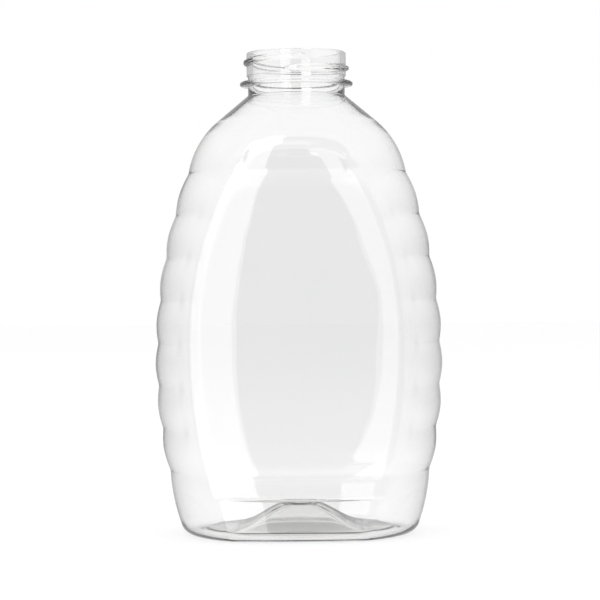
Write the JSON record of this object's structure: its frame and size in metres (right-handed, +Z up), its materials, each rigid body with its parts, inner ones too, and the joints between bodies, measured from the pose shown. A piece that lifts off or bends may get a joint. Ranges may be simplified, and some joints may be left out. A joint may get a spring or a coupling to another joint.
{
  "type": "honey bottle",
  "caption": "Clear oval squeeze bottle for honey, with ribbed sides, a smooth label panel front and back, a push-up base and an open threaded neck.",
  "frame": {"origin": "on the floor under the middle of the base, on the neck's axis", "axes": "+Z up along the neck's axis, +X to the right-hand ribbed side, -Y to the front label panel"},
  "size_m": [0.101, 0.0762, 0.169],
  "materials": {
    "clear_pet": "clear, polished"
  },
  "bodies": {
    "root": {"neck_finish": "clear_pet", "closure_thread": "clear_pet", "transfer_bead": "clear_pet", "shoulder": "clear_pet", "front_label_panel": "clear_pet", "back_label_panel": "clear_pet", "left_ribbed_side": "clear_pet", "right_ribbed_side": "clear_pet", "heel": "clear_pet", "push_up_base": "clear_pet", "gate_disc": "clear_pet"}
  },
  "joints": []
}
